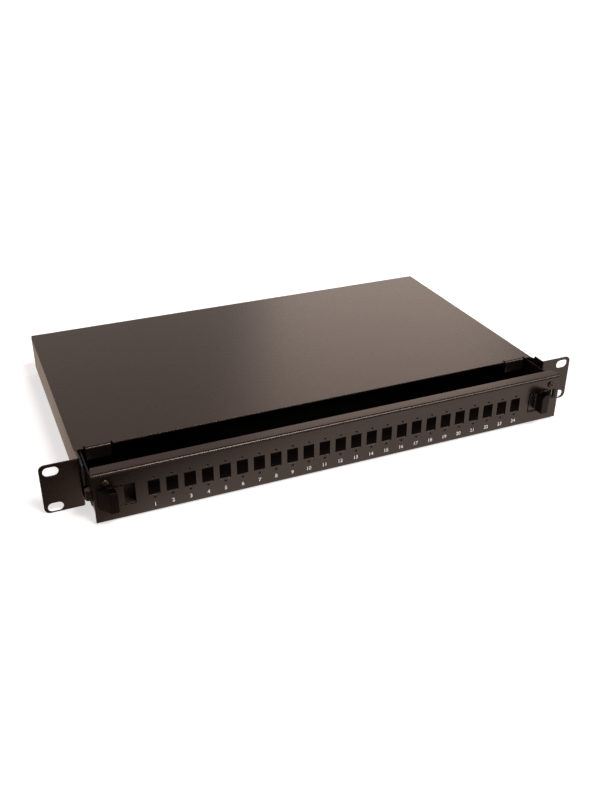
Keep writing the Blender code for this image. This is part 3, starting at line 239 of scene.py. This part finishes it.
def painted_floor_reflection(tree):
    """What glossy rays see of the floor: a painted reflection, the product of its painted shades.
    """
    place = tree.nodes.new("ShaderNodeNewGeometry").outputs["Position"]
    colour, *others = [painted_reflection_shade(tree, place, *shade) for shade in PAINTED_REFLECTION_SHADES]
    for layer in others:
        both = tree.nodes.new("ShaderNodeVectorMath")
        both.operation = "MULTIPLY"
        tree.links.new(colour, both.inputs[0])
        tree.links.new(layer, both.inputs[1])
        colour = both.outputs["Vector"]
    mirror = tree.nodes.new("ShaderNodeEmission")
    tree.links.new(colour, mirror.inputs["Color"])
    return mirror.outputs[0]


def floor_material():
    """Matt and pale with a glow for the camera and through glass; gloss sees a painted, shaded
    reflection.
    """
    material = bpy.data.materials.new("floor")
    material.use_nodes = True
    tree = material.node_tree
    shader = tree.nodes["Principled BSDF"]
    shader.inputs["Base Color"].default_value = (FLOOR_WHITE, FLOOR_WHITE, FLOOR_WHITE, 1.0)
    shader.inputs["Roughness"].default_value = FLOOR_ROUGH
    shader.inputs["Specular IOR Level"].default_value = 0.0
    path = tree.nodes.new("ShaderNodeLightPath")
    seen = tree.nodes.new("ShaderNodeMath")
    seen.operation = "MAXIMUM"
    tree.links.new(path.outputs["Is Camera Ray"], seen.inputs[0])
    tree.links.new(path.outputs["Is Transmission Ray"], seen.inputs[1])
    strength = tree.nodes.new("ShaderNodeMath")
    strength.operation = "MULTIPLY"
    strength.inputs[1].default_value = FLOOR_GLOW
    tree.links.new(seen.outputs[0], strength.inputs[0])
    glow = tree.nodes.new("ShaderNodeEmission")
    tree.links.new(strength.outputs[0], glow.inputs["Strength"])
    both = tree.nodes.new("ShaderNodeAddShader")
    tree.links.new(shader.outputs[0], both.inputs[0])
    tree.links.new(glow.outputs[0], both.inputs[1])
    # Glossy rays see the painted reflection in place of the lit floor
    choice = tree.nodes.new("ShaderNodeMixShader")
    tree.links.new(path.outputs["Is Glossy Ray"], choice.inputs[0])
    tree.links.new(both.outputs[0], choice.inputs[1])
    tree.links.new(painted_floor_reflection(tree), choice.inputs[2])
    tree.links.new(choice.outputs[0], tree.nodes["Material Output"].inputs["Surface"])
    return material


def make_floor():
    """A wide pale floor just under the part."""
    half = FLOOR_HALF
    mesh = bpy.data.meshes.new("floor")
    mesh.from_pydata(
        [(-half, -half, 0), (half, -half, 0), (half, half, 0), (-half, half, 0)], [], [(0, 1, 2, 3)]
    )
    mesh.materials.append(floor_material())
    floor = add("floor", mesh)
    floor.location.z = -FLOOR_GAP


def make_world():
    """White to the camera; to the part, a studio shaded by height and dim on the camera's side."""
    world = bpy.data.worlds.new("studio")
    bpy.context.scene.world = world
    world.use_nodes = True
    tree = world.node_tree
    background = tree.nodes["Background"]
    place = tree.nodes.new("ShaderNodeTexCoord")
    split = tree.nodes.new("ShaderNodeSeparateXYZ")
    ramp = tree.nodes.new("ShaderNodeValToRGB")
    tree.links.new(place.outputs["Generated"], split.inputs[0])
    tree.links.new(split.outputs["Z"], ramp.inputs[0])
    fill_ramp(ramp.color_ramp, WORLD_STOPS)
    path = tree.nodes.new("ShaderNodeLightPath")
    mix = tree.nodes.new("ShaderNodeMix")
    mix.data_type = "RGBA"
    tree.links.new(path.outputs["Is Camera Ray"], mix.inputs["Factor"])
    tree.links.new(ramp.outputs["Color"], mix.inputs["A"])
    mix.inputs["B"].default_value = (*WHITE_LIGHT, 1.0)
    tree.links.new(mix.outputs["Result"], background.inputs["Color"])
    front = tree.nodes.new("ShaderNodeMapRange")
    front.inputs["From Min"].default_value, front.inputs["From Max"].default_value = FRONT_FROM
    front.inputs["To Min"].default_value = FRONT_DIM
    tree.links.new(split.outputs["Y"], front.inputs["Value"])
    strength = tree.nodes.new("ShaderNodeMath")
    strength.operation = "MAXIMUM"
    tree.links.new(front.outputs["Result"], strength.inputs[0])
    tree.links.new(path.outputs["Is Camera Ray"], strength.inputs[1])
    tree.links.new(strength.outputs[0], background.inputs["Strength"])


# Finishes

class Tree:
    """Short names for the nodes of one material."""

    def __init__(self, name):
        self.material = bpy.data.materials.new(name)
        self.material.use_nodes = True
        self.nodes = self.material.node_tree.nodes
        self.links = self.material.node_tree.links
        self.shader = self.nodes["Principled BSDF"]
        self.place = self.nodes.new("ShaderNodeTexCoord").outputs["Object"]

    def set(self, **values):
        """Uniform values, straight on the shader's sockets."""
        for name, value in values.items():
            self.shader.inputs[name.replace("_", " ")].default_value = value

    def noise(self, scale, detail, roughness=0.5):
        """A noise of a given frequency per metre."""
        node = self.nodes.new("ShaderNodeTexNoise")
        node.inputs["Scale"].default_value = scale
        node.inputs["Detail"].default_value = detail
        node.inputs["Roughness"].default_value = roughness
        self.links.new(self.place, node.inputs["Vector"])
        return node.outputs["Fac"]

    def spread(self, source, low, high):
        """Maps a noise to a range of values."""
        node = self.nodes.new("ShaderNodeMapRange")
        node.inputs["From Min"].default_value, node.inputs["From Max"].default_value = NOISE_FROM
        node.inputs["To Min"].default_value = low
        node.inputs["To Max"].default_value = high
        self.links.new(source, node.inputs["Value"])
        return node.outputs["Result"]

    def cloud(self, noise, colour, shares):
        """A base colour that drifts between a darker and a lighter share of itself."""
        node = self.nodes.new("ShaderNodeMix")
        node.data_type = "RGBA"
        self.links.new(self.spread(self.noise(*noise), 0.0, 1.0), node.inputs["Factor"])
        for socket, share in zip("AB", shares):
            node.inputs[socket].default_value = (*(part * share for part in colour), 1.0)
        self.use("Base Color", node.outputs["Result"])

    def bump(self, height, distance, below=None):
        """A bump of a given height in metres, on top of another."""
        node = self.nodes.new("ShaderNodeBump")
        node.inputs["Distance"].default_value = distance
        node.inputs["Strength"].default_value = 1.0
        self.links.new(height, node.inputs["Height"])
        if below is not None:
            self.links.new(below, node.inputs["Normal"])
        return node.outputs["Normal"]

    def roughen(self, source, roughness, stray):
        """A roughness that follows a noise, around a finish's own."""
        self.use("Roughness", self.spread(source, *(roughness + part for part in stray)))

    def use(self, name, source):
        """Feeds a socket of the shader."""
        self.links.new(source, self.shader.inputs[name])


def coated_steel(name, colour, roughness, tint, ior, peel=COAT_HEIGHT):
    """Satin powder coat: fine orange peel, faint clouding, tiny pits."""
    tree = Tree(name)
    tree.set(IOR=ior, Specular_Tint=(*tint, 1.0))
    tree.cloud(COAT_CLOUDS, colour, COAT_SHARES)
    tree.roughen(tree.noise(*COAT_SHEEN), roughness, COAT_STRAY)
    skin = tree.bump(tree.noise(*COAT_PEEL), peel)
    tree.use("Normal", tree.bump(tree.noise(*COAT_GRAIN), GRAIN_HEIGHT, skin))
    return tree.material


def moulded(name, colour, roughness, peel=SKIN_HEIGHT, tint=WHITE_LIGHT, ior=1.48):
    """Moulded plastic, rubber or ink with a fine spark-eroded skin."""
    tree = Tree(name)
    tree.set(IOR=ior, Specular_Tint=(*tint, 1.0))
    tree.cloud(SKIN_PATCHES, colour, SKIN_SHARES)
    tree.roughen(tree.noise(*SKIN_SHEEN), roughness, SKIN_STRAY)
    tree.use("Normal", tree.bump(tree.noise(*SKIN_PEEL), peel))
    return tree.material


def plated(name, colour, roughness=0.34):
    """Plated or oiled metal with fine marks and uneven sheen."""
    tree = Tree(name)
    tree.set(Metallic=1.0)
    tree.cloud(PLATE_PATCHES, colour, PLATE_SHARES)
    marks = tree.noise(*PLATE_MARKS)
    tree.roughen(marks, roughness, PLATE_STRAY)
    tree.use("Normal", tree.bump(marks, PLATE_HEIGHT))
    return tree.material


def smoked(name, colour):
    """Clear tinted lid."""
    tree = Tree(name)
    tree.set(IOR=LID_IOR, Transmission_Weight=LID_CLEAR)
    tree.cloud(LID_PATCHES, colour, LID_SHARES)
    tree.use("Roughness", tree.spread(tree.noise(*LID_SHEEN), *LID_ROUGH))
    return tree.material


PAINT = (0.0060, 0.0040, 0.0032)
# Warm tint of the reflections on the paints and on the nylons below: painted warm light
WARM_LIGHT_TINT = (1.0, 0.79, 0.68)
CASE = coated_steel("case_coat", PAINT, 0.28, WARM_LIGHT_TINT, ior=1.51)
PANEL = coated_steel("panel_coat", PAINT, 0.27, WARM_LIGHT_TINT, ior=1.51, peel=PANEL_HEIGHT)
INSIDE = coated_steel("drawer_coat", (0.0060, 0.0046, 0.0040), 0.50, WARM_LIGHT_TINT, ior=1.30)
BLACK = moulded("black_nylon", (0.0032, 0.0022, 0.0017), 0.40, tint=(1.0, 0.72, 0.58), ior=1.26)
# Latch housing's nylon, lighter than the black nylon: painted light in its shaded pocket
POCKET_PAINTED_LIGHT = moulded("pocket_nylon_painted_light", (0.024, 0.018, 0.015), 0.50, tint=(1.0, 0.80, 0.70), ior=1.40)
GREY = moulded("grey_nylon_skin", (0.034, 0.031, 0.028), 0.50, ior=1.40)
RUBBER = moulded("rubber_skin", (0.012, 0.012, 0.012), 0.72, peel=RUBBER_HEIGHT)
WHITE = moulded("white_styrene", (0.66, 0.66, 0.63), 0.40)
ZINC = plated("zinc_plate", (0.62, 0.62, 0.60))
BRASS = plated("brass_plate", (0.68, 0.47, 0.20))
BLUED = plated("bronzed_screw", (0.085, 0.060, 0.042))
SMOKE = smoked("smoked_lid", (0.55, 0.57, 0.60))
INK_WHITE = moulded("number_ink", (0.80, 0.80, 0.78), 0.55)

# Finish by the start of a piece's name
LOOKS = {
    "chassis_base": CASE, "top_cover": CASE, "drawer_tray": INSIDE, "front_panel": PANEL,
    "cover_screw": BLUED, "panel_screw": BLUED, "earth_stud": ZINC, "earth_washer": ZINC,
    "earth_nut": BRASS, "panel_nut": ZINC, "tray_stud": ZINC, "tray_nut": BLACK,
    "splice_tray_lid": SMOKE, "splice_tray": WHITE, "splice_holder": GREY,
    "fibre_ring": BLACK, "tie_mount": BLACK, "glide_strip": GREY, "drawer_pad": GREY,
    "cable_grommet": RUBBER, "blanking_plug": RUBBER,
    "latch_housing": POCKET_PAINTED_LIGHT, "finger_tab": BLACK, "latch_slider": PANEL,
}

# Width of the softened edges by the start of a piece's name; studs keep their edges
EDGES = {
    "chassis_base": 0.00018, "top_cover": 0.00018, "drawer_tray": 0.00018, "front_panel": 0.00018,
    "latch_slider": 0.00025, "finger_tab": 0.00035, "latch_housing": 0.00025,
    "panel_screw": 0.00012, "cover_screw": 0.00012, "panel_nut": 0.00018, "tray_nut": 0.00015,
    "earth_nut": 0.00020, "earth_washer": 0.00015,
    "splice_tray": 0.00020, "splice_tray_lid": 0.00020, "splice_holder": 0.00015,
    "fibre_ring": 0.00025, "tie_mount": 0.00030, "glide_strip": 0.00025, "drawer_pad": 0.00030,
    "cable_grommet": 0.00020, "blanking_plug": 0.00020,
}

# Pieces whose flat faces stay in triangles, because of their holes and hollows
FACETED = ("latch_slider", "finger_tab", "latch_housing", "splice_tray")


# CAD pieces

def of_family(table, node):
    """The entry of a table whose key begins the node's name, the longest first."""
    keys = [key for key in table if node.startswith(key)]
    return table[max(keys, key=len)] if keys else None


def node_group(name):
    """An empty geometry node group with one way in and one way out."""
    group = bpy.data.node_groups.new(name, "GeometryNodeTree")
    for way in ("INPUT", "OUTPUT"):
        group.interface.new_socket("Geometry", in_out=way, socket_type="NodeSocketGeometry")
    return group, group.nodes.new("NodeGroupInput"), group.nodes.new("NodeGroupOutput")


def welding():
    """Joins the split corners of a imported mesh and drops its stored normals."""
    group, start, end = node_group("weld_corners")
    plain = group.nodes.new("GeometryNodeRemoveAttribute")
    plain.inputs["Name"].default_value = "custom_normal"
    merge = group.nodes.new("GeometryNodeMergeByDistance")
    merge.inputs["Distance"].default_value = WELD_GAP
    group.links.new(start.outputs[0], plain.inputs["Geometry"])
    group.links.new(plain.outputs["Geometry"], merge.inputs["Geometry"])
    group.links.new(merge.outputs["Geometry"], end.inputs[0])
    return group


def smoothing():
    """Smooth shading, with edges sharper than a corner's angle kept sharp."""
    group, start, end = node_group("smooth_by_angle")
    angle = group.nodes.new("GeometryNodeInputMeshEdgeAngle")
    compare = group.nodes.new("FunctionNodeCompare")
    compare.data_type = "FLOAT"
    compare.operation = "LESS_EQUAL"
    compare.inputs["B"].default_value = math.radians(CORNER_ANGLE)
    edges = group.nodes.new("GeometryNodeSetShadeSmooth")
    edges.domain = "EDGE"
    faces = group.nodes.new("GeometryNodeSetShadeSmooth")
    faces.domain = "FACE"
    group.links.new(angle.outputs["Unsigned Angle"], compare.inputs["A"])
    group.links.new(start.outputs[0], edges.inputs["Geometry"])
    group.links.new(compare.outputs["Result"], edges.inputs["Shade Smooth"])
    group.links.new(edges.outputs["Geometry"], faces.inputs["Geometry"])
    group.links.new(faces.outputs["Geometry"], end.inputs[0])
    return group


WELD = welding()
SMOOTH = smoothing()


def soften(item, width, planes=True):
    """Rounds hard edges and shades a piece smoothly; its flat faces may first be made whole."""
    item.modifiers.new("weld", "NODES").node_group = WELD
    if width and planes:
        plane = item.modifiers.new("planes", "DECIMATE")
        plane.decimate_type = "DISSOLVE"
        plane.angle_limit = math.radians(PLANE_ANGLE)
    if width:
        bevel = item.modifiers.new("edges", "BEVEL")
        bevel.width = width
        bevel.segments = BEVEL_STEPS
        bevel.limit_method = "ANGLE"
        bevel.angle_limit = math.radians(CORNER_ANGLE)
        bevel.use_clamp_overlap = False
    item.modifiers.new("smooth", "NODES").node_group = SMOOTH
    item.modifiers.new("normals", "WEIGHTED_NORMAL").keep_sharp = True


def dress_nodes():
    """Gives every CAD piece its finish and soft edges."""
    for name, item in NODES.items():
        item.material_slots[0].material = of_family(LOOKS, name)
        soften(item, of_family(EDGES, name), not name.startswith(FACETED))


# Pieces made here

def print_numbers():
    """The white numbers under the ports."""
    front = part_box("front_panel")[0].y
    first = -(PORT_COUNT - 1) * PORT_PITCH / 2
    for index in range(PORT_COUNT):
        name = f"port_number_{index + 1}"
        curve = bpy.data.curves.new(name, "FONT")
        curve.body = str(index + 1)
        curve.size = NUMBER_SIZE
        curve.align_x = "CENTER"
        curve.align_y = "CENTER"
        curve.extrude = INK
        curve.offset = NUMBER_BOLD
        curve.resolution_u = NUMBER_STEPS
        curve.materials.append(INK_WHITE)
        text = add(name, curve)
        text.location = (first + index * PORT_PITCH, front - INK / 2, NUMBER_Z)
        text.rotation_euler = (math.pi / 2, 0.0, 0.0)
        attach(text, "drawer")


def wall_shoulders():
    """The low step of each side wall between the ear's strip and the cover."""
    low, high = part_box("top_cover")
    outer = high.x + SHOULDER_OUT
    profile = [
        (-SHOULDER_LENGTH, -SHOULDER_DROP), (0.0, -SHOULDER_DROP), (0.0, 0.0),
        (-SHOULDER_LENGTH / 3, 0.0), (-SHOULDER_LENGTH, SHOULDER_RISE),
    ]
    count = len(profile)
    for side, sign in (("left", -1.0), ("right", 1.0)):
        name = "wall_shoulder_" + side
        verts = []
        for x in (outer - SHOULDER_THICK, outer):
            verts += [(sign * x, low.y - SHOULDER_GAP + y, high.z + z) for y, z in profile]
        faces = [tuple(range(count)), tuple(range(2 * count - 1, count - 1, -1))]
        for index in range(count):
            after = (index + 1) % count
            faces.append((index, index + count, after + count, after))
        if sign > 0:
            faces = [tuple(reversed(face)) for face in faces]
        mesh = bpy.data.meshes.new(name)
        mesh.from_pydata(verts, [], faces)
        mesh.materials.append(CASE)
        shoulder = add(name, mesh)
        soften(shoulder, SHOULDER_EDGE)
        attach(shoulder, "chassis")


make_camera()
make_floor()
make_world()
make_lamps()
dress_nodes()
print_numbers()
wall_shoulders()
bpy.context.scene.view_settings.view_transform = "Standard"

bpy.context.view_layer.update()
